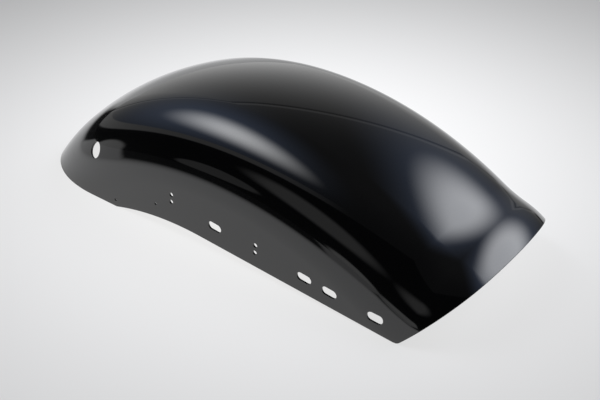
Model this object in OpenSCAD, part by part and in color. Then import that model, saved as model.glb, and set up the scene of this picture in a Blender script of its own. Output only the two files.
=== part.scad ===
// Rear fender of a motorcycle, pressed from one steel sheet.
// It rests as laid down: the front cut and the two rear feet stand on z = 0,
// +X points to the tail, Y runs across, and the origin is below the middle of its length.

/* [Shell] */
// Width over the two flat sides
fender_w = 234; // [180:1:280]
// Thickness of the sheet
wall = 2; // [1.2:0.1:4]
// Height of the crown's highest point above the surface it stands on
crown_h = 148; // [130:1:170]
// Radius of the crown across the fender
crown_r = 246; // [180:1:400]
// Radius that rolls the crown over into each side
shoulder_r = 80; // [40:1:95]

/* [Sweep along the wheel] */
// Radius of the crown line ahead of its highest point
front_arc_r = 384; // [320:1:460]
// Radius of the crown line behind its highest point
rear_arc_r = 430; // [360:1:520]
// Angle of the rear stretch, from the highest point to the tail
rear_arc_deg = 31; // [24:0.5:34]

/* [Ducktail] */
// Radius of the hollow that turns the tail up
hollow_r = 84; // [40:1:160]
// Angle turned back by the hollow
hollow_deg = 13.4; // [4:0.1:20]
// Radius of the lip behind the hollow
lip_r = 120; // [100:1:200]
// Angle turned down by the lip
lip_deg = 19; // [8:0.5:28]
// Slope of the tail's cut, from upright
rim_deg = 42.2; // [30:0.1:50]

/* [Lower edge of the sides] */
// Distance from the crown's highest point forward to where a side leaves the ground
toe_x = 145; // [110:1:180]
// Radius of the arch that starts there
arch_r = 361; // [250:1:600]
// Slope of the straight edge behind the arch
edge_deg = 3.5; // [2:0.1:5]
// Radius of the rounded rear foot
foot_r = 8; // [3:0.5:14]

/* [Slots] */
// Length of a slot from end to end
slot_len = 17; // [12:0.5:24]
// Width of a slot
slot_w = 9; // [6:0.1:12]
// Slope of the line of slots
slot_deg = 5.4; // [0:0.1:8]
// Place of the front slot, behind the crown's highest point
slot_x = 2; // [-10:0.5:20]
// Height of the front slot
slot_z = 35.3; // [28:0.1:45]
// Distance from the front slot to the second, along the line
slot_step_1 = 113; // [80:0.5:125]
// Distance from the front slot to the third
slot_step_2 = 142.5; // [135:0.5:160]
// Distance from the front slot to the rear one
slot_step_3 = 193.5; // [170:0.5:200]

/* [Small holes] */
// Diameter of the rivet holes, which come in pairs
rivet_d = 4.8; // [3:0.1:6.5]
// Distance between the two holes of a pair
rivet_pitch = 9; // [8:0.1:14]
// Place of the front pair, behind the highest point
rivet_1_x = -57; // [-80:0.1:-30]
// Height of the front pair
rivet_1_z = 46; // [36:0.1:60]
// Place of the rear pair, behind the highest point
rivet_2_x = 54.5; // [30:0.1:80]
// Height of the rear pair
rivet_2_z = 31.7; // [26:0.1:40]
// Diameter of the two clip holes
clip_d = 3; // [2:0.1:5]
// Place of the front clip hole, near the toe
clip_1_x = -145.5; // [-160:0.5:-120]
// Height of the front clip hole
clip_1_z = 9; // [6:0.1:14]
// Place of the second clip hole
clip_2_x = -81.5; // [-100:0.5:-60]
// Height of the second clip hole
clip_2_z = 29.7; // [22:0.1:40]

/* [Cable hole] */
// Diameter of the cable hole in each front shoulder
cable_d = 18.5; // [10:0.5:24]
// Angle along the front arc, from the highest point
cable_deg = 32.5; // [24:0.5:36]
// Angle round the shoulder, from upright
cable_roll = 58; // [50:0.5:70]

/* [Hidden] */

$fn = 96;
eps = 1;                                                    // how far a cutter runs past a face
half_w = fender_w / 2;
// where crown and shoulder meet, measured from upright round the crown's centre
meet_deg = asin((half_w - shoulder_r) / (crown_r - shoulder_r));
// depth below the crown at which the shoulder has turned into the flat side
side_depth = crown_r - (crown_r - shoulder_r) * cos(meet_deg);
overrun = 10;                                               // how far the sheet runs on before it is trimmed
overrun_deg = 3;
no_limit = 10 * fender_w;
front_steps = 22;                                           // flats along each bend
rear_steps = 12;
hollow_steps = 6;
lip_steps = 8;
crown_steps = 3;                                            // flats round half the section
shoulder_steps = 14;

// the crown line, as [x, z] from below its highest point
front_axis = [0, crown_h - front_arc_r];
front_reach = sqrt(pow(front_arc_r, 2) - pow(front_axis[1], 2));
front_start = -asin(front_reach / front_arc_r) - overrun_deg;
rear_axis = [0, crown_h - rear_arc_r];
rear_out = [sin(rear_arc_deg), cos(rear_arc_deg)];          // square to the crown where the hollow starts
hollow_axis = rear_axis + (rear_arc_r + hollow_r) * rear_out;
lip_heading = rear_arc_deg - hollow_deg;
lip_axis = hollow_axis - (hollow_r + lip_r) * [sin(lip_heading), cos(lip_heading)];
tail_heading = lip_heading + lip_deg;
tail = lip_axis + lip_r * [sin(tail_heading), cos(tail_heading)];
shift_x = (front_reach - tail[0]) / 2;                      // puts the origin at mid length

// the lower edge of a side, as [x, z] from the same place
foot_at = [tail[0] - (foot_r + (tail[1] - foot_r) * sin(rim_deg)) / cos(rim_deg), foot_r];
edge_up = [sin(edge_deg), cos(edge_deg)];                   // square to the straight edge
edge_rise = (foot_at - foot_r * edge_up + [toe_x, 0]) * edge_up;    // straight edge above the toe
arch_run = sqrt(2 * arch_r * edge_rise - pow(edge_rise, 2));
arch_at = [-toe_x, 0] + (edge_rise - arch_r) * edge_up + arch_run * [cos(edge_deg), -sin(edge_deg)];
toe_deg = -acos(-arch_at[1] / arch_r);                      // where the arch starts, from upright
arch_steps = 20;
foot_steps = 12;

// Points along a bend of the crown line, after its first: [x, z, heading, deepest section].
// A heading is the slope of the crown line, downwards to the tail, and side is 1 where
// the bend's axis is below the crown and -1 where it is above.
function bend(axis, r, side, from, to, steps, limit) =
    [for (i = [1 : steps]) let (a = from + (to - from) * i / steps)
        [axis[0] + side * r * sin(a), axis[1] + side * r * cos(a), a, limit]];

// The crown line from below ground at the front to just past the tail.
function crown_line() = concat(
    bend(front_axis, front_arc_r, 1, front_start, 0, front_steps, no_limit),
    bend(rear_axis, rear_arc_r, 1, 0, rear_arc_deg, rear_steps, no_limit),
    bend(hollow_axis, hollow_r, -1, rear_arc_deg, lip_heading, hollow_steps, no_limit),
    bend(lip_axis, lip_r, 1, lip_heading, tail_heading + overrun_deg, lip_steps, lip_r - wall));

// Half of the section as [across, depth below the crown], from the middle of the crown to
// the lower end of a side. inset is 0 on the outer face and the wall on the inner one.
function half_section(inset, depth) = concat(
    [for (i = [0 : crown_steps]) let (a = meet_deg * i / crown_steps)
        [(crown_r - inset) * sin(a), crown_r - (crown_r - inset) * cos(a)]],
    [for (i = [1 : shoulder_steps]) let (a = meet_deg + (90 - meet_deg) * i / shoulder_steps)
        [half_w - shoulder_r + (shoulder_r - inset) * sin(a), side_depth - (shoulder_r - inset) * cos(a)]],
    [[half_w - inset, depth]]);

// The whole section, side to side, stood square to the crown line at a station.
function face_points(station, inset) =
    let (depth = max(side_depth + wall, min((station[1] + overrun) / cos(station[2]), station[3])),
         half = half_section(inset, depth), last = len(half) - 1,
         all = [for (i = [-last : last]) [sign(i) * half[abs(i)][0], half[abs(i)][1]]])
    [for (q = all) [station[0] - q[1] * sin(station[2]), q[0], station[1] - q[1] * cos(station[2])]];

// The whole sheet before it is trimmed: the section carried along the crown line.
module rolled_sheet() {
    stations = crown_line();
    outer = [for (s = stations) face_points(s, 0)];
    inner = [for (s = stations) face_points(s, wall)];
    rows = len(stations);
    cols = len(outer[0]);
    points = [for (ring = concat(outer, inner)) each ring];
    function at(row, col, face) = (face * rows + row) * cols + col;
    polyhedron(points, concat(
        [for (r = [0 : rows - 2], c = [0 : cols - 2]) each two_sided(
            [at(r, c, 0), at(r, c + 1, 0), at(r + 1, c + 1, 0), at(r + 1, c, 0)],
            [at(r, c, 1), at(r + 1, c, 1), at(r + 1, c + 1, 1), at(r, c + 1, 1)], c < cols / 2)],
        [for (c = [0 : cols - 2]) each [
            [at(0, c, 1), at(0, c + 1, 1), at(0, c + 1, 0), at(0, c, 0)],
            [at(rows - 1, c, 0), at(rows - 1, c + 1, 0), at(rows - 1, c + 1, 1), at(rows - 1, c, 1)]]],
        [for (r = [0 : rows - 2]) each [
            [at(r, 0, 0), at(r + 1, 0, 0), at(r + 1, 0, 1), at(r, 0, 1)],
            [at(r, cols - 1, 1), at(r + 1, cols - 1, 1), at(r + 1, cols - 1, 0), at(r, cols - 1, 0)]]]));
}

// Both faces of the sheet between four neighbours, as triangles that mirror across the middle.
function two_sided(o, i, near) = near
    ? [[o[0], o[1], o[2]], [o[0], o[2], o[3]], [i[0], i[1], i[2]], [i[0], i[2], i[3]]]
    : [[o[0], o[1], o[3]], [o[1], o[2], o[3]], [i[0], i[1], i[3]], [i[1], i[2], i[3]]];

// What stays of the sheet, seen from the side: ground cut, arch, straight edge,
// rounded foot and sloping tail cut.
module side_outline() {
    polygon(concat(
        [[-front_reach - overrun, 0]],
        [for (i = [0 : arch_steps]) let (a = toe_deg + (edge_deg - toe_deg) * i / arch_steps)
            arch_at + arch_r * [sin(a), cos(a)]],
        [for (i = [0 : foot_steps]) let (a = 270 - edge_deg + (90 + edge_deg - rim_deg) * i / foot_steps)
            foot_at + foot_r * [cos(a), sin(a)]],
        [tail + overrun * [sin(rim_deg), cos(rim_deg)],
         [tail[0] + overrun, crown_h + overrun],
         [-front_reach - overrun, crown_h + overrun]]));
}

// A slot's cutter through both sides, about the slot's own middle.
module slot_cutter() {
    flat = slot_len - slot_w;
    for (s = [-1, 1]) translate([s * flat / 2, 0, 0]) cross_hole(slot_w);
    cube([flat, fender_w + 2 * eps, slot_w], center = true);
}

// A round cutter through both sides.
module cross_hole(d) {
    rotate([90, 0, 0]) cylinder(d = d, h = fender_w + 2 * eps, center = true);
}

module slots() {
    for (step = [0, slot_step_1, slot_step_2, slot_step_3])
        translate([slot_x + step * cos(slot_deg), 0, slot_z - step * sin(slot_deg)])
            rotate([0, slot_deg, 0]) slot_cutter();
}

// The rivet holes of a pair stand one above the other, square to the line of slots.
module small_holes() {
    for (at = [[rivet_1_x, rivet_1_z], [rivet_2_x, rivet_2_z]])
        translate([at[0], 0, at[1]]) rotate([0, slot_deg, 0])
            for (s = [-1, 1]) translate([0, 0, s * rivet_pitch / 2]) cross_hole(rivet_d);
    for (at = [[clip_1_x, clip_1_z], [clip_2_x, clip_2_z]])
        translate([at[0], 0, at[1]]) cross_hole(clip_d);
}

// One cable hole in each front shoulder, square to the sheet.
module cable_holes() {
    translate([0, 0, front_axis[1]]) rotate([0, -cable_deg, 0])
        for (s = [0, 1]) mirror([0, s, 0])
            translate([0, half_w - shoulder_r, front_arc_r - side_depth]) rotate([-cable_roll, 0, 0])
                translate([0, 0, shoulder_r - cable_d / 2]) cylinder(d = cable_d, h = cable_d);
}

module fender() {
    color([0.03, 0.03, 0.035]) translate([shift_x, 0, 0]) difference() {
        intersection() {
            rolled_sheet();
            rotate([90, 0, 0]) linear_extrude(fender_w + 2 * eps, center = true) side_outline();
        }
        slots();
        small_holes();
        cable_holes();
    }
}

fender();
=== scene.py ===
import math
import bpy
import numpy as np
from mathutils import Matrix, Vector
from mathutils.geometry import delaunay_2d_cdt


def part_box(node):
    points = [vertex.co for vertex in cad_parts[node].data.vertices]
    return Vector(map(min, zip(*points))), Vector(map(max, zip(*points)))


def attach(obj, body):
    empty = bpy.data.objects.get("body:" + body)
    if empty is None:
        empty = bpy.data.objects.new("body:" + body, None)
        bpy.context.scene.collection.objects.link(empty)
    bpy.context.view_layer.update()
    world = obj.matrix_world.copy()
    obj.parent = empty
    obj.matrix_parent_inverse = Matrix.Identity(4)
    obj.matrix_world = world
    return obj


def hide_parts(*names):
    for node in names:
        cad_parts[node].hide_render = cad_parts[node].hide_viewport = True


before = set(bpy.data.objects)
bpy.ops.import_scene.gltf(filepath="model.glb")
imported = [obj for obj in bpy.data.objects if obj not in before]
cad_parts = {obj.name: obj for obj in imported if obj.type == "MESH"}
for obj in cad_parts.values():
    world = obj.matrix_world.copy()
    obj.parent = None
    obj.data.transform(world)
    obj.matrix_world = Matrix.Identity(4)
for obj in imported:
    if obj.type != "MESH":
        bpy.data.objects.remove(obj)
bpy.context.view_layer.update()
boxLow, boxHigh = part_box("fender")
print("frame loaded,", len(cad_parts), "node")

# The fender, in metres and degrees. Lengths along X are counted from the crown's highest point.
fender = {
    "wall": 0.002, "edgeRound": 0.0006, "edgeSteps": 4,
    "halfWidth": boxHigh[1], "crownHeight": boxHigh[2],
    "crownRadius": 0.246, "shoulderRadius": 0.080,
    "frontArc": 0.384, "rearArc": 0.430, "rearTurn": 31.0,
    "hollow": 0.1180, "hollowTurn": 12.77, "lip": 0.1033, "lipTurn": 18.37, "rimSlope": 42.2,
    "toe": 0.145, "arch": 0.361, "edgeSlope": 3.5, "foot": 0.008,
    "frontRows": 108, "rearRows": 76, "tailRows": 40,
    "crownColumns": 24, "shoulderColumns": 30, "lowColumns": 20, "lowFrom": 73.0, "outlineStep": 0.003,
    "halvings": 40,
}
holes = {
    "slotLength": 0.017, "slotWidth": 0.009, "slotSlope": 5.4, "slotStart": (0.002, 0.0353),
    "slotSteps": (0, 0.113, 0.1425, 0.1935),
    "rivet": 0.0048, "rivetPitch": 0.009, "rivetPairs": ((-0.057, 0.046), (0.0545, 0.0317)),
    "clip": 0.003, "clips": ((-0.1455, 0.009), (-0.0815, 0.0297)),
    "cable": 0.0185, "cableHeading": -32.5, "cableRoll": 58.0,
    "cableBlock": (0.017, 0.017), "slotBlock": (0.0125, 0.0085),
    "edgeRound": 0.0003, "rings": 10, "pointsAround": 48, "fitSteps": 8,
}


def turned(degrees):
    # Sine and cosine of an angle, as the X and Z of a direction leaning from upright to the tail.
    return np.array([math.sin(math.radians(degrees)), math.cos(math.radians(degrees))])


def quarterOn(way):
    # The direction a quarter turn on from another, so along the sheet for a direction out of it.
    return np.array([way[1], -way[0]])


def standing(flat, across=0.0):
    # Points or directions of the side seen square on, stood in the room at a distance across.
    return np.stack([flat[..., 0], np.full(flat.shape[:-1], across), flat[..., 1]], -1)


# Where the bends of the crown line have their axes, as (x, z) from the ground below its highest point.
frontAxis = np.array([0, fender["crownHeight"] - fender["frontArc"]])
rearAxis = np.array([0, fender["crownHeight"] - fender["rearArc"]])
hollowAxis = rearAxis + (fender["rearArc"] + fender["hollow"]) * turned(fender["rearTurn"])
lipHeading = fender["rearTurn"] - fender["hollowTurn"]
lipAxis = hollowAxis - (fender["hollow"] + fender["lip"]) * turned(lipHeading)
tailHeading = lipHeading + fender["lipTurn"]
tail = lipAxis + fender["lip"] * turned(tailHeading)
crownX = boxLow[0] + math.sqrt(fender["frontArc"]**2 - frontAxis[1]**2)
rimUp = turned(fender["rimSlope"])
rimOut = quarterOn(rimUp)
edgeUp = turned(fender["edgeSlope"])
edgeOut = -edgeUp
footAt = np.array([tail[0] - (fender["foot"] + (tail[1] - fender["foot"]) * rimUp[0]) / rimUp[1],
                   fender["foot"]])
bendAxis = np.array([frontAxis, rearAxis, hollowAxis, lipAxis])
bendRadius = np.array([fender["frontArc"], fender["rearArc"], fender["hollow"], fender["lip"]])
bendSide = np.array([1, 1, -1, 1])
bendFrom = np.radians([0, 0, fender["rearTurn"], lipHeading])
bendTo = np.radians([0, fender["rearTurn"], lipHeading, fender["rimSlope"]])
meetAngle = math.asin((fender["halfWidth"] - fender["shoulderRadius"])
                      / (fender["crownRadius"] - fender["shoulderRadius"]))
sideDepth = (fender["crownRadius"]
             - (fender["crownRadius"] - fender["shoulderRadius"]) * math.cos(meetAngle))
sideStart = np.array([crownX, 0])
# The flat sides are filled with triangles in millimetres. Tiny is the least distance told apart there,
# and the least sine that is divided by.
millimetres, tiny = 1000, 1e-7


def outwards(faces, points, normals):
    # Turns round each face whose winding disagrees with the normals of its points.
    across = points[faces[:, 2]] - points[faces[:, 0]]
    along = points[faces[:, -1]] - points[faces[:, 1]]
    agrees = np.einsum("ij,ij->i", np.cross(across, along), normals[faces].sum(1))
    return np.where(agrees[:, None] < 0, faces[:, ::-1], faces)


class SheetMesh:
    # Gathers points with their normals, and faces given as rows of point numbers.
    def __init__(self):
        self.points, self.normals, self.quads, self.triangles, self.count = [], [], [], [], 0

    def add(self, points, normals):
        shape = points.shape[:-1]
        numbers = np.arange(self.count, self.count + int(np.prod(shape))).reshape(shape)
        self.points.append(points.reshape(-1, 3))
        self.normals.append(np.broadcast_to(normals, points.shape).reshape(-1, 3))
        self.count += numbers.size
        return numbers

    def addGrid(self, numbers, keep=None):
        # One quad between each four neighbours of a grid of point numbers.
        corners = np.stack([numbers[:-1, :-1], numbers[1:, :-1], numbers[1:, 1:], numbers[:-1, 1:]], -1)
        self.quads.append(corners[keep] if keep is not None else corners.reshape(-1, 4))

    def build(self, name):
        points = np.concatenate(self.points)
        normals = np.concatenate(self.normals)
        quads = outwards(np.concatenate(self.quads), points, normals)
        triangles = outwards(np.concatenate(self.triangles), points, normals)
        used, packed = np.unique(np.concatenate([quads.ravel(), triangles.ravel()]), return_inverse=True)
        packed = packed.ravel()
        sizes = np.concatenate([np.full(len(quads), 4), np.full(len(triangles), 3)])
        mesh = bpy.data.meshes.new(name)
        mesh.vertices.add(len(used))
        mesh.vertices.foreach_set("co", points[used].astype(np.float32).ravel())
        mesh.loops.add(len(packed))
        mesh.loops.foreach_set("vertex_index", packed.astype(np.int32))
        mesh.polygons.add(len(sizes))
        mesh.polygons.foreach_set("loop_start", (np.cumsum(sizes) - sizes).astype(np.int32))
        mesh.polygons.foreach_set("use_smooth", np.ones(len(sizes), bool))
        mesh.update(calc_edges=True)
        mesh.validate()
        mesh.normals_split_custom_set_from_vertices(normals[used].tolist())
        piece = bpy.data.objects.new(name, mesh)
        bpy.context.scene.collection.objects.link(piece)
        return piece


def section(angle, inset):
    # Across and depth below the crown, at an angle from upright. Up to meetAngle the point is on
    # the crown's circle, past it on the shoulder's, both drawn in by the inset.
    size = np.abs(angle)
    onCrown = size <= meetAngle
    crown, shoulder = fender["crownRadius"] - inset, fender["shoulderRadius"] - inset
    across = np.where(onCrown, crown * np.sin(size),
                      fender["halfWidth"] - fender["shoulderRadius"] + shoulder * np.sin(size))
    depth = np.where(onCrown, fender["crownRadius"] - crown * np.cos(size),
                     sideDepth - shoulder * np.cos(size))
    return np.sign(angle) * across, depth


def frontStart(depth):
    # The heading at which the front arc's circle, at a depth, meets the ground cut.
    return -np.arccos((fender["edgeRound"] - frontAxis[1]) / (fender["frontArc"] - depth))


def swept(travel, angle, inset):
    # A point of one face and its outward normal. Travel runs 0 to 1 over the front arc, then 1 to 2
    # over the rear arc, 2 to 3 over the hollow and 3 to 4 over the lip. The section's point turns to a
    # heading round the bend's axis, at the bend's radius less the depth, or plus the depth where the
    # axis lies outside the sheet.
    across, depth = section(angle, inset)
    bend = np.clip(np.floor(travel), 0, 3).astype(int)
    share = travel - bend
    heading = bendFrom[bend] + (bendTo[bend] - bendFrom[bend]) * share
    heading = np.where(bend == 0, frontStart(depth) * (1 - share), heading)
    reach = bendSide[bend] * bendRadius[bend] - depth
    x, z = bendAxis[bend, 0] + reach * np.sin(heading), bendAxis[bend, 1] + reach * np.cos(heading)
    points = np.stack([x + crownX, np.broadcast_to(across, x.shape), z], -1)
    return points, facing(heading, angle)


def facing(heading, angle):
    # The outward normal: upright in the section, leaned over by its angle and turned by the heading.
    heading, angle = np.broadcast_arrays(heading, angle)
    lean = np.cos(angle)
    return np.stack([lean * np.sin(heading), np.sin(angle), lean * np.cos(heading)], -1)


def pastTail(points):
    # How far points lie past the rounded corner of the straight edge and the tail cut, as the
    # distance from the corner's centre less its radius, and the direction out of the sheet.
    flat = points[..., [0, 2]] - [footAt[0] + crownX, footAt[1]]
    size = np.linalg.norm(flat, axis=-1)
    low, rear = flat @ edgeOut, flat @ rimOut
    turnLow = flat[..., 0] * edgeOut[1] - flat[..., 1] * edgeOut[0]
    turnRear = flat[..., 0] * rimOut[1] - flat[..., 1] * rimOut[0]
    corner = (turnLow < 0) & (turnRear > 0) & (low + rear > 0)
    past = np.where(corner, size, np.maximum(low, rear)) - (fender["foot"] - fender["edgeRound"])
    plain = np.where((low > rear)[..., None], edgeOut, rimOut)
    return past, np.where(corner[..., None], flat / size[..., None], plain)


def rolledFace(angle, inset):
    # The rolled part of one face on a grid of travel by section angle. Each line ends where it meets
    # the tail cut or the foot, found by halving.
    near, far = np.full(len(angle), 2.0), np.full(len(angle), 4.0)
    for step in range(fender["halvings"]):
        middle = (near + far) / 2
        outside = pastTail(swept(middle, angle, inset)[0])[0] > 0
        near, far = np.where(outside, near, middle), np.where(outside, middle, far)
    share = [np.linspace(0, 1, fender[rows] + 1) for rows in ("frontRows", "rearRows", "tailRows")]
    fixed = np.concatenate([share[0], share[1][1:] + 1])[:, None] * np.ones(len(angle))
    travel = np.concatenate([fixed, 2 + (far - 2) * share[2][1:, None]])
    return travel, *swept(travel, angle, inset)


def cableRim(way, inset):
    # The rim of the cable hole on one face, as travel and section angle: a circle drawn square to the
    # hole's axis, then moved along that axis on to the sheet by stepping the angle until it fits.
    heading0, roll = math.radians(holes["cableHeading"]), math.radians(holes["cableRoll"])
    radius = holes["cable"] / 2 + holes["edgeRound"]
    wantAlong, wantAcross = radius * np.cos(way), radius * np.sin(way)
    across0, depth0 = section(np.array(roll), inset)
    tube = fender["shoulderRadius"] - inset
    angle = roll + wantAcross / tube
    for step in range(holes["fitSteps"]):
        across, depth = section(angle, inset)
        turn = np.arcsin(wantAlong / (fender["frontArc"] - depth))
        rise = (fender["frontArc"] - depth) * np.cos(turn) - (fender["frontArc"] - depth0)
        found = (across - across0) * math.cos(roll) - rise * math.sin(roll)
        angle = angle + (wantAcross - found) / tube
    depth = section(angle, inset)[1]
    return 1 - (heading0 + turn) / frontStart(depth), angle


def rearSlotRim(way, inset):
    # The rim of the rear slot, which lies where the hollow runs out into the side. In the slot's own
    # axes a ray meets a flat, or an end's circle; its place gives the reach from the hollow's axis,
    # and so the depth and the section's angle.
    half = (holes["slotLength"] - holes["slotWidth"]) / 2
    radius = holes["slotWidth"] / 2 + holes["edgeRound"]
    size = half * np.abs(np.cos(way)) + np.sqrt(np.maximum(radius**2 - (half * np.sin(way))**2, 0))
    onFlat = radius * np.abs(np.cos(way)) < half * np.abs(np.sin(way))
    size = np.where(onFlat, radius / np.maximum(np.abs(np.sin(way)), tiny), size)
    along, across = size * np.cos(way), size * np.sin(way)
    slope = turned(holes["slotSlope"])
    at = slotPlace(holes["slotSteps"][-1])
    flat = at + along[:, None] * quarterOn(slope) + across[:, None] * slope
    away = hollowAxis - flat
    depth = np.linalg.norm(away, axis=1) - fender["hollow"]
    heading = np.arctan2(away[:, 0], away[:, 1])
    angle = np.arccos((sideDepth - depth) / (fender["shoulderRadius"] - inset))
    return 2 + (heading - bendFrom[2]) / (bendTo[2] - bendFrom[2]), angle


def slotPlace(step):
    # The middle of a slot, a step along the line of slots.
    return np.array(holes["slotStart"]) + step * quarterOn(turned(holes["slotSlope"]))


def rolledHole(sheet, grid, angle, inset, sign, turnNormal, hole):
    # Ring after ring from the hole's rim to the edge of a block taken out of the grid. Travel and
    # angle go from the rim's to the edge's in even shares. The outer face, which comes first, sets
    # the block, and the inner face takes out the same one.
    numbers, points, travel = grid
    centre, along, across, rim = hole["centre"], hole["along"], hole["across"], hole["rim"]
    mirror = np.array([1, sign, 1])
    if sign not in hole:
        gap = points * mirror - centre
        inside = ((np.abs(gap @ along) < hole["block"][0]) & (np.abs(gap @ across) < hole["block"][1])
                  & (gap[..., 1] > -fender["shoulderRadius"]))
        rows, columns = np.where(inside.any(1))[0], np.where(inside.any(0))[0]
        hole[sign] = rows[0], rows[-1], columns[0], columns[-1]
    top, bottom, left, right = hole[sign]
    edge = np.array([(top, c) for c in range(left, right)] + [(r, right) for r in range(top, bottom)]
                    + [(bottom, c) for c in range(right, left, -1)]
                    + [(r, left) for r in range(bottom, top, -1)])
    edgeNumbers = numbers[edge[:, 0], edge[:, 1]]
    edgeTravel, edgeAngle = travel[edge[:, 0], edge[:, 1]], np.abs(angle[edge[:, 1]])
    gap = points[edge[:, 0], edge[:, 1]] * mirror - centre
    rimTravel, rimAngle = rim(np.arctan2(gap @ across, gap @ along), inset)
    share = np.linspace(0, 1, holes["rings"] + 1)[:-1, None]
    ringTravel = rimTravel + (edgeTravel - rimTravel) * share
    ringAngle = sign * (rimAngle + (edgeAngle - rimAngle) * share)
    ringPoints, ringNormals = swept(ringTravel, ringAngle, inset)
    rings = sheet.add(ringPoints, turnNormal * ringNormals)
    closed = np.concatenate([rings, edgeNumbers[None]])
    sheet.addGrid(np.concatenate([closed, closed[:, :1]], 1))
    hidden = np.zeros((numbers.shape[0] - 1, numbers.shape[1] - 1), bool)
    hidden[top:bottom, left:right] = True
    return rings[0], hidden


def rolledHoles():
    # The holes that lie in the rolled part, each with its centre and its two directions on the sheet.
    heading, roll = math.radians(holes["cableHeading"]), math.radians(holes["cableRoll"])
    up = np.array([math.sin(heading), 0, math.cos(heading)])
    start = frontStart(section(np.array(roll), 0)[1])
    cable = {"centre": swept(np.array([1 - heading / start]), np.array([roll]), 0)[0][0],
             "along": np.array([up[2], 0, -up[0]]),
             "across": np.array([0, math.cos(roll), 0]) - math.sin(roll) * up,
             "block": holes["cableBlock"], "rim": cableRim}
    slope = turned(holes["slotSlope"])
    at = slotPlace(holes["slotSteps"][-1])
    slot = {"centre": standing(at + sideStart, fender["halfWidth"]),
            "along": standing(quarterOn(slope)), "across": standing(slope),
            "block": holes["slotBlock"], "rim": rearSlotRim}
    return cable, slot


def lowerEdge(first, last):
    # The lower edge of a side seen square on, between the rolled part's two ends, as points and
    # the direction out of the sheet: a line along the ground, the arch, and the straight edge.
    back, step = fender["edgeRound"], fender["outlineStep"]
    rise = float(np.dot(footAt - fender["foot"] * edgeUp + [fender["toe"], 0], edgeUp))
    run = math.sqrt(2 * fender["arch"] * rise - rise**2)
    archAt = np.array([-fender["toe"], 0]) + (rise - fender["arch"]) * edgeUp + run * quarterOn(edgeUp)
    radius = fender["arch"] + back
    toeTurn = -math.acos((back - archAt[1]) / radius)
    toe = archAt + radius * turned(math.degrees(toeTurn))
    archEnd = archAt + radius * edgeUp

    def line(start, end, out):
        count = max(2, int(np.linalg.norm(end - start) / step))
        share = np.linspace(0, 1, count + 1)[:-1, None]
        return start + (end - start) * share, np.broadcast_to(out, (count, 2))

    count = int(abs(toeTurn) * radius / step)
    way = np.linspace(toeTurn, math.radians(fender["edgeSlope"]), count + 1)[:-1]
    ray = np.stack([np.sin(way), np.cos(way)], 1)
    parts = [line(first, toe, np.array([0.0, -1.0])), (archAt + radius * ray, -ray),
             line(archEnd, last, edgeOut)]
    points, out = (np.concatenate([part[which] for part in parts])[1:] for which in (0, 1))
    return points, out


def roundHole(at, radius):
    # A circle as points and the directions towards its middle.
    way = np.linspace(0, 2 * math.pi, holes["pointsAround"] + 1)[:-1]
    ray = np.stack([np.cos(way), np.sin(way)], 1)
    return np.array(at) + radius * ray, -ray


def slotHole(at):
    # Two half circles a flat apart, turned to the slope of the line of slots.
    radius = holes["slotWidth"] / 2 + holes["edgeRound"]
    flat = (holes["slotLength"] - holes["slotWidth"]) / 2
    way = np.linspace(-math.pi / 2, math.pi / 2, holes["pointsAround"] // 2 + 1)
    half = np.stack([np.cos(way), np.sin(way)], 1)
    ray = np.concatenate([half, -half])
    points = radius * ray + np.repeat([[flat, 0], [-flat, 0]], len(way), 0)
    slope = turned(holes["slotSlope"])
    turn = np.array([quarterOn(slope), slope])
    return at + points @ turn, -ray @ turn


def sideHoles():
    # Every hole in the flat side, as points and the directions into the hole.
    found = [slotHole(slotPlace(step)) for step in holes["slotSteps"][:-1]]
    for pair in holes["rivetPairs"]:
        for side in (-1, 1):
            at = np.array(pair) + side * holes["rivetPitch"] / 2 * turned(holes["slotSlope"])
            found.append(roundHole(at, holes["rivet"] / 2 + holes["edgeRound"]))
    for at in holes["clips"]:
        found.append(roundHole(at, holes["clip"] / 2 + holes["edgeRound"]))
    return found


def insideLoop(points, loop):
    # True where a ray from the point crosses the loop an odd number of times.
    first, last = loop, np.roll(loop, -1, 0)
    x, z = points[:, :1], points[:, 1:]
    spans = (first[:, 1] > z) != (last[:, 1] > z)
    rise = np.where(last[:, 1] == first[:, 1], 1, last[:, 1] - first[:, 1])
    crossing = first[:, 0] + (z - first[:, 1]) * (last[:, 0] - first[:, 0]) / rise
    return (spans & (x < crossing)).sum(1) % 2 == 1


def flatFill(outline, loops):
    # Triangles between the outline and the holes, as numbers into all their points together.
    every = [outline] + loops
    points = np.concatenate(every)
    edges, offset = [], 0
    for loop in every:
        edges += [(offset + i, offset + (i + 1) % len(loop)) for i in range(len(loop))]
        offset += len(loop)
    result = delaunay_2d_cdt([Vector(point) for point in points * millimetres], edges, [], 0, tiny)
    source = np.array([numbers[0] for numbers in result[3]])
    triangles = source[np.array(result[2])]
    middle = points[triangles].mean(1)
    keep = insideLoop(middle, outline)
    for loop in loops:
        keep &= ~insideLoop(middle, loop)
    return triangles[keep]


def roundedRim(sheet, outer, inner, outerPoints, innerPoints, out, bulge):
    # The cut edge: a profile from face to face with a quarter round at each corner, carried along
    # the rim. It stands out of the two faces by the rounding of the edge.
    middle = (outerPoints + innerPoints) / 2
    half = np.linalg.norm(outerPoints - innerPoints, axis=-1, keepdims=True) / 2
    across = (outerPoints - innerPoints) / (2 * half)
    corner = np.radians(np.linspace(0, 90, fender["edgeSteps"] + 1)[1:])
    turns = np.concatenate([corner, np.pi - corner[::-1]])[:, None, None]
    side = np.repeat([1, -1], len(corner))[:, None, None]
    flat = (half - bulge)[None]
    points = middle + across * (side * flat + bulge * np.cos(turns)) + out * bulge * np.sin(turns)
    normals = across * np.cos(turns) + out * np.sin(turns)
    numbers = sheet.add(points, normals)
    numbers = np.concatenate([outer[None], numbers, inner[None]])
    sheet.addGrid(np.concatenate([numbers, numbers[:, :1]], 1))


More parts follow.
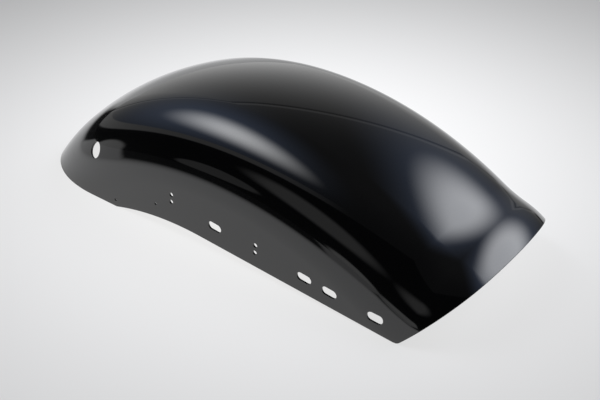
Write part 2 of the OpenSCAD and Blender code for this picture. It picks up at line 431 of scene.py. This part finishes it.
def makeFace(sheet, angle, loops, rolled, inset, turnNormal):
    # One face of the sheet: the rolled part with its holes, and the two flat sides below it.
    travel, points, normals = rolledFace(angle, inset)
    numbers = sheet.add(points, turnNormal * normals)
    keep = np.ones((points.shape[0] - 1, points.shape[1] - 1), bool)
    rims, edges = [], []
    for sign, column in ((-1, 0), (1, -1)):
        for hole in rolled:
            grid = numbers, points, travel
            rim, hidden = rolledHole(sheet, grid, angle, inset, sign, turnNormal, hole)
            keep &= ~hidden
            rims.append(rim)
        normal = np.array([0, sign * turnNormal, 0])
        across = sign * (fender["halfWidth"] - inset)
        top = points[::-1, column][:, [0, 2]] - sideStart
        edge, edgeWay = lowerEdge(top[-1], top[0])
        edgeNumbers = sheet.add(standing(edge + sideStart, across), normal)
        holeNumbers = [sheet.add(standing(loop[0] + sideStart, across), normal) for loop in loops]
        triangles = flatFill(np.concatenate([edge, top]), [loop[0] for loop in loops])
        every = np.concatenate([edgeNumbers, numbers[::-1, column]] + holeNumbers)
        sheet.triangles.append(every[triangles])
        edges.append((edgeNumbers, holeNumbers))
    sheet.addGrid(numbers, keep)
    return numbers, rims, edges, standing(edgeWay)


def makeFender():
    sheet = SheetMesh()
    crown = np.linspace(0, meetAngle, fender["crownColumns"] // 2 + 1)
    lowFrom = math.radians(fender["lowFrom"])
    shoulder = np.linspace(meetAngle, lowFrom, fender["shoulderColumns"] + 1)[1:]
    low = np.linspace(lowFrom, math.pi / 2, fender["lowColumns"] + 1)[1:]
    half = np.concatenate([crown, shoulder, low])
    angle = np.concatenate([-half[:0:-1], half])
    loops = sideHoles()
    rolled = rolledHoles()
    outer, outerRims, outerEdges, edgeWay = makeFace(sheet, angle, loops, rolled, 0, 1)
    inner, innerRims, innerEdges, edgeWay = makeFace(sheet, angle, loops, rolled, fender["wall"], -1)
    every = np.concatenate(sheet.points)
    tailWay = standing(pastTail(every[outer[-1]])[1])
    ground = np.tile([0, 0, -1.0], (outer.shape[1], 1))
    out = np.concatenate([ground, edgeWay, tailWay[::-1], edgeWay[::-1]])
    first, second = (np.concatenate([numbers[0], edges[1][0], numbers[-1][::-1], edges[0][0][::-1]])
                     for numbers, edges in ((outer, outerEdges), (inner, innerEdges)))
    roundedRim(sheet, first, second, every[first], every[second], out, fender["edgeRound"])
    for side in (0, 1):
        for first, second, loop in zip(outerEdges[side][1], innerEdges[side][1], loops):
            inwards = standing(loop[1])
            roundedRim(sheet, first, second, every[first], every[second], inwards, holes["edgeRound"])
    for first, second in zip(outerRims, innerRims):
        thick = every[first] - every[second]
        thick /= np.linalg.norm(thick, axis=1, keepdims=True)
        along = np.roll(every[first], -1, 0) - np.roll(every[first], 1, 0)
        inwards = np.cross(along, thick)
        inwards *= np.sign(np.einsum("ij,ij->i", inwards, every[first].mean(0) - every[first]))[:, None]
        inwards /= np.linalg.norm(inwards, axis=1, keepdims=True)
        roundedRim(sheet, first, second, every[first], every[second], inwards, holes["edgeRound"])
    piece = sheet.build("fender_skin")
    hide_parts("fender")
    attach(piece, "root")
    return piece


class Sum:
    # A shader socket, or a number, with the operators that its maths uses.
    def __init__(self, shader, socket):
        self.shader, self.socket = shader, socket

    def maths(self, operation, *others):
        return self.shader.node("ShaderNodeMath", {"operation": operation}, [self, *others])

    def __add__(self, other):
        return self.maths("ADD", other)

    def __sub__(self, other):
        return self.maths("SUBTRACT", other)

    def __rsub__(self, other):
        return Sum(self.shader, other).maths("SUBTRACT", self)

    def __rtruediv__(self, other):
        return Sum(self.shader, other).maths("DIVIDE", self)

    def __mul__(self, other):
        return self.maths("MULTIPLY", other)

    def __truediv__(self, other):
        return self.maths("DIVIDE", other)

    def __pow__(self, other):
        return self.maths("POWER", other)

    __radd__, __rmul__ = __add__, __mul__

    def atLeast(self, low):
        return self.maths("MAXIMUM", low)

    def ramp(self, low, high):
        # 0 below low and 1 above high, eased at both ends.
        return self.shader.node("ShaderNodeMapRange", {"interpolation_type": "SMOOTHSTEP"},
                                {"Value": self, "From Min": low, "From Max": high})


class Shader:
    # The nodes of one material or world.
    def __init__(self, owner):
        owner.use_nodes = True
        self.tree = owner.node_tree
        self.tree.nodes.clear()

    def node(self, kind, settings=None, inputs=(), output=0):
        made = self.tree.nodes.new(kind)
        for name, value in (settings or {}).items():
            setattr(made, name, value)
        for key, value in (inputs.items() if isinstance(inputs, dict) else enumerate(inputs)):
            value = value.socket if isinstance(value, Sum) else value
            if isinstance(value, bpy.types.NodeSocket):
                self.tree.links.new(value, made.inputs[key])
            else:
                made.inputs[key].default_value = value
        return Sum(self, made.outputs[output]) if len(made.outputs) else made

    def vector(self, operation, inputs, output="Vector"):
        return self.node("ShaderNodeVectorMath", {"operation": operation}, inputs, output)

    def along(self, vector, direction):
        # How far a vector reaches along a fixed direction.
        return self.vector("DOT_PRODUCT", [vector, tuple(direction)], "Value")

    def distance(self, first, second):
        # The distance between two points.
        return self.vector("DISTANCE", [first, second], "Value")

    def scaled(self, colour, factor):
        # A colour times a number.
        return self.vector("SCALE", {"Vector": colour, "Scale": factor})

    def mixed(self, factor, first, second):
        # One fixed colour to another by a factor. The node's colours are its inputs 6 and 7.
        inputs = {"Factor": factor, 6: (*first, 1), 7: (*second, 1)}
        return self.node("ShaderNodeMix", {"data_type": "RGBA"}, inputs, output=2)


paint = {
    "colour": (0.0010, 0.0011, 0.0014), "worn": (0.0016, 0.0017, 0.0020), "ior": 1.6,
    "roughness": (0.030, 0.050), "hazeWeight": 0.04, "hazeRoughness": 0.25,
    "cloudScale": 9.0, "cloudDetail": 4.0, "cloudWorn": (0.35, 0.7), "cloudRough": (0.3, 0.75),
    "peelScale": 900.0, "peelDetail": 1.0, "peelHeight": 0.000002, "peelStrength": 0.12,
}


def blackPaint():
    # Gloss black: a sharp lobe with the faint orange peel of sprayed paint, under a thin haze.
    material = bpy.data.materials.new("black_paint")
    shader = Shader(material)
    place = shader.node("ShaderNodeTexCoord", output="Object")
    cloud, peel = (shader.node("ShaderNodeTexNoise", {}, {
        "Vector": place, "Scale": paint[name + "Scale"], "Detail": paint[name + "Detail"]})
        for name in ("cloud", "peel"))
    low, high = paint["roughness"]
    bump = shader.node("ShaderNodeBump", {}, {"Strength": paint["peelStrength"],
                                              "Distance": paint["peelHeight"], "Height": peel})
    surface = shader.node("ShaderNodeBsdfPrincipled", {}, {
        "Base Color": shader.mixed(cloud.ramp(*paint["cloudWorn"]), paint["colour"], paint["worn"]),
        "Roughness": low + (high - low) * cloud.ramp(*paint["cloudRough"]),
        "IOR": paint["ior"], "Normal": bump,
        "Coat Weight": paint["hazeWeight"], "Coat Roughness": paint["hazeRoughness"]})
    shader.node("ShaderNodeOutputMaterial", {}, {"Surface": surface})
    return material


# The floor's brightness is painted light, set twice: as the camera sees it, a painted pool of light, and
# as the paint mirrors it, a painted reflection. A lane is a strip of painted reflection on the floor
# that opens
# out from a point: its start, its heading in degrees, the least cosine of the angle to it, and its
# brightness.
studio = {
    "camera": (0.55173, -0.66662, 0.56646), "aim": (-0.51383, 0.66060, -0.54735), "lens": 55.92,
    "floorSize": 12.0, "floorColour": (1.0, 0.997, 0.993), "floorGlow": 0.78, "floorPaint": 0.22,
    "seenCentre": (-0.034, 0.092, 0.0), "seenSize": 0.53, "seenPower": 0.82, "seenPeak": 1.155,
    "seenLeast": 0.47,
    "mirrorCentre": (0.03, 0.12, 0.0), "mirrorFade": (0.5, 0.9), "mirrorLoss": 0.97,
    "mirrorAside": (0.6, 0.87), "mirrorBehind": (0.2, 0.8), "mirrorBehindLoss": 0.25,
    "lanes": (((0.3, 0.05, 0.0), 197.0, 0.979, 0.64), ((0.15, -0.12, 0.0), 262.0, 0.985, 0.55)),
    "laneSoft": 0.008,
    "backdrop": 0.94, "backdropHeading": 125.0, "backdropPower": 5, "nearest": 0.02,
    "ceiling": (0.070, 0.040), "ceilingFade": 0.6, "pale": 0.44,
    "boxFront": 0.1, "boxSpill": 0.25, "haloTint": (0.72, 0.95, 1.50), "white": (1.0, 1.0, 1.0),
}
# Lights, each a soft-edged ellipse by heading and height in degrees, with the lean of its long side,
# its half sizes as sines, how soft its edge is, and its brightness. Each hot core has a dim halo.
softBoxes = {
    "front": {"heading": 205.4, "height": 50.5, "lean": 40.0,
              "half": (0.44, 0.225), "edge": 0.94, "bright": 5.0},
    "rear": {"heading": 56.0, "height": 38.5, "lean": -20.0,
             "half": (0.45, 0.32), "edge": 0.6, "bright": 4.2},
}
halos = {
    "front": {"heading": 192.8, "height": 45.2, "lean": 48.0,
              "half": (0.65, 0.51), "edge": 1.0, "bright": 0.47},
    "rear": {"heading": 45.0, "height": 36.5, "lean": 2.0,
             "half": (0.78, 0.52), "edge": 0.75, "bright": 0.60},
}
# The unlit part of the room before the fender: below a slanting line, and forward of its sides.
# Pale cards stand in it. A paler border runs along the slanting line.
unlit = {
    "heading": 304.0, "height": -58.4, "level": -0.348, "soft": 0.008,
    "frontHeading": 252.0, "frontSoft": 0.04, "glow": 0.011,
    "borderWidth": 0.075, "borderSoft": 0.004, "border": 0.31, "borderHeading": 190.0,
    "borderFade": 0.6,
}
cards = {
    "low": {"heading": 233.6, "height": 5.5, "lean": 21.0,
            "half": (0.18, 0.084), "edge": 0.16, "bright": 0.19},
    "high": {"heading": 258.5, "height": 25.0, "lean": 0.0,
             "half": (0.35, 0.17), "edge": 0.4, "bright": 0.28},
    "left": {"heading": 199.0, "height": -3.0, "lean": 25.0,
             "half": (0.17, 0.13), "edge": 0.2, "bright": 0.50},
    "right": {"heading": 262.0, "height": 0.0, "lean": 0.0,
              "half": (0.11, 0.08), "edge": 0.3, "bright": 0.60},
}
# The backdrop's rounded outline seen square on, as tangents: a step down in brightness with a thin
# dark line, and a thin pale stripe outside it.
arch = {
    "middle": 0.05, "half": 0.70, "rise": 0.2, "height": 0.78,
    "step": 0.30, "stepWidth": (0.985, 1.0), "line": 0.6, "lineWidth": (0.008, 0.022),
    "stripe": 0.16, "stripeAt": 1.055, "stripeWidth": (0.015, 0.03), "stripeFade": 0.3,
}


def headingTo(heading, height):
    # The direction with a heading and a height, in degrees.
    heading, height = math.radians(heading), math.radians(height)
    return np.array([math.cos(height) * math.cos(heading), math.cos(height) * math.sin(heading),
                     math.sin(height)])


def boxLight(shader, ray, box):
    # A soft-edged ellipse of light round a direction: its size from the centre along its two sides.
    lean = math.radians(box["lean"])
    level = headingTo(box["heading"] + 90, 0)
    centre = headingTo(box["heading"], box["height"])
    upward = np.cross(centre, level)
    first = math.cos(lean) * level + math.sin(lean) * upward
    second = math.cos(lean) * upward - math.sin(lean) * level
    along = shader.along(ray, first) / box["half"][0]
    across = shader.along(ray, second) / box["half"][1]
    size = (along * along + across * across)**0.5
    inFront = shader.along(ray, centre).ramp(0, studio["boxFront"])
    spill = studio["boxSpill"] * box["edge"]
    return (1 - size.ramp(1 - box["edge"], 1 + spill)) * inFront * box["bright"]


def allBoxes(shader, ray, boxes, light):
    # The light with every ellipse of a list added.
    for box in boxes.values():
        light = light + boxLight(shader, ray, box)
    return light


def backdropLight(shader, ray):
    # The pale backdrop behind the fender with its rounded outline, and the dim ceiling round it.
    toBackdrop = shader.along(ray, headingTo(studio["backdropHeading"], 0))
    reach = toBackdrop.atLeast(studio["nearest"])
    sideways = shader.along(ray, headingTo(studio["backdropHeading"] + 90, 0)) / reach
    upwards = shader.along(ray, (0, 0, 1)) / reach
    size = (((sideways - arch["middle"]) / arch["half"])**2
            + ((upwards - arch["rise"]) / arch["height"])**2)**0.5
    offLine = (size - 1).atLeast(1 - size)
    offStripe = (size - arch["stripeAt"]).atLeast(arch["stripeAt"] - size)
    near, far = studio["ceiling"]
    ceiling = near - (0 - toBackdrop).ramp(0, studio["ceilingFade"]) * (near - far)
    step = 1 - size.ramp(*arch["stepWidth"]) * arch["step"]
    light = toBackdrop.atLeast(0)**studio["backdropPower"] * studio["backdrop"] * step + ceiling
    light = light * (1 - (1 - offLine.ramp(*arch["lineWidth"])) * arch["line"])
    stripe = (1 - offStripe.ramp(*arch["stripeWidth"])) * arch["stripe"]
    return light + stripe * toBackdrop.ramp(0, arch["stripeFade"])


def makeWorld():
    world = bpy.data.worlds.new("studio")
    bpy.context.scene.world = world
    shader = Shader(world)
    ray = shader.node("ShaderNodeTexCoord", output="Generated")
    light = allBoxes(shader, ray, softBoxes, backdropLight(shader, ray))
    low = allBoxes(shader, ray, cards, unlit["glow"])
    halo = allBoxes(shader, ray, halos, 0)
    below = shader.along(ray, headingTo(unlit["heading"], unlit["height"]))
    forward = shader.along(ray, headingTo(unlit["frontHeading"], 0)).ramp(0, unlit["frontSoft"])
    toLeft = shader.along(ray, headingTo(unlit["borderHeading"], 0)).ramp(0, unlit["borderFade"])
    line, edge = unlit["level"], unlit["level"] - unlit["borderWidth"]
    black = below.ramp(line - unlit["soft"], line + unlit["soft"]) * forward
    border = below.ramp(edge - unlit["borderSoft"], edge + unlit["borderSoft"]) * forward * toLeft
    light = light * (1 - border) + border * unlit["border"]
    isCamera = shader.node("ShaderNodeLightPath", output="Is Camera Ray")
    hidden = 1 - isCamera
    plain = (light * (1 - black) + low * black) * hidden + isCamera * studio["pale"]
    tinted = shader.scaled(studio["haloTint"], halo * (1 - black) * (1 - border) * hidden)
    colour = shader.vector("ADD", [shader.scaled(studio["white"], plain), tinted])
    glow = shader.node("ShaderNodeBackground", {}, {"Color": colour, "Strength": 1.0})
    shader.node("ShaderNodeOutputWorld", {}, {"Surface": glow})


def makeFloor():
    # A pale floor that glows with painted light, like a light table lit from below: a painted pool of
    # light,
    # brightest behind the middle of the fender and fading outwards. To the paint it shows a painted
    # reflection:
    # bright near the fender, towards the backdrop and along the lanes, and dark elsewhere.
    half = studio["floorSize"] / 2
    mesh = bpy.data.meshes.new("floor")
    corners = [(-half, -half, 0), (half, -half, 0), (half, half, 0), (-half, half, 0)]
    mesh.from_pydata(corners, [], [(0, 1, 2, 3)])
    floor = bpy.data.objects.new("floor", mesh)
    bpy.context.scene.collection.objects.link(floor)
    material = bpy.data.materials.new("pale_floor")
    mesh.materials.append(material)
    shader = Shader(material)
    place = shader.node("ShaderNodeTexCoord", output="Object")
    # The painted pool of light that the camera sees: brightest round a centre and fading outwards.
    seenAway = shader.distance(place, studio["seenCentre"])
    seenPaintedPool = studio["seenPeak"] / (1 + (seenAway / studio["seenSize"])**2)**studio["seenPower"]
    seenPaintedPool = seenPaintedPool.atLeast(studio["seenLeast"])
    # The painted reflection that the paint mirrors: bright near the fender, towards the backdrop and
    # along the lanes, darker elsewhere.
    away = shader.distance(place, studio["mirrorCentre"])
    fromCentre = shader.vector("SUBTRACT", [place, studio["mirrorCentre"]])
    behind = shader.along(fromCentre, headingTo(studio["backdropHeading"], 0)).atLeast(0)
    aside = 1 - (behind / away.atLeast(studio["nearest"])).ramp(*studio["mirrorAside"])
    paintedReflection = 1 - (away * aside).ramp(*studio["mirrorFade"]) * studio["mirrorLoss"]
    paintedReflection = paintedReflection * (1 - behind.ramp(*studio["mirrorBehind"]) * studio["mirrorBehindLoss"])
    for start, heading, width, bright in studio["lanes"]:
        onward = shader.vector("SUBTRACT", [place, start])
        way = shader.along(onward, headingTo(heading, 0)) / shader.distance(place, start)
        paintedReflection = paintedReflection.atLeast(way.ramp(width, width + studio["laneSoft"]) * bright)
    isCamera = shader.node("ShaderNodeLightPath", output="Is Camera Ray")
    level = seenPaintedPool * isCamera + paintedReflection * (1 - isCamera)
    colour = shader.scaled(studio["floorColour"], level)
    painted = shader.scaled(colour, studio["floorPaint"])
    plain = shader.node("ShaderNodeBsdfDiffuse", {}, {"Color": painted})
    # The floor glows with this painted light, though it is no lamp.
    glow = shader.node("ShaderNodeEmission", {}, {"Color": colour, "Strength": studio["floorGlow"]})
    both = shader.node("ShaderNodeAddShader", {}, [plain, glow])
    shader.node("ShaderNodeOutputMaterial", {}, {"Surface": both})


def makeCamera():
    camera = bpy.data.objects.new("camera", bpy.data.cameras.new("camera"))
    camera.data.lens = studio["lens"]
    camera.location = studio["camera"]
    camera.rotation_euler = Vector(studio["aim"]).to_track_quat("-Z", "Y").to_euler()
    bpy.context.scene.collection.objects.link(camera)
    bpy.context.scene.camera = camera


makeCamera()
makeWorld()
makeFloor()
print("studio made")
fenderSkin = makeFender()
fenderSkin.data.materials.append(blackPaint())
print("fender skin made", len(fenderSkin.data.polygons), "faces")

bpy.context.scene.view_settings.view_transform = "Standard"
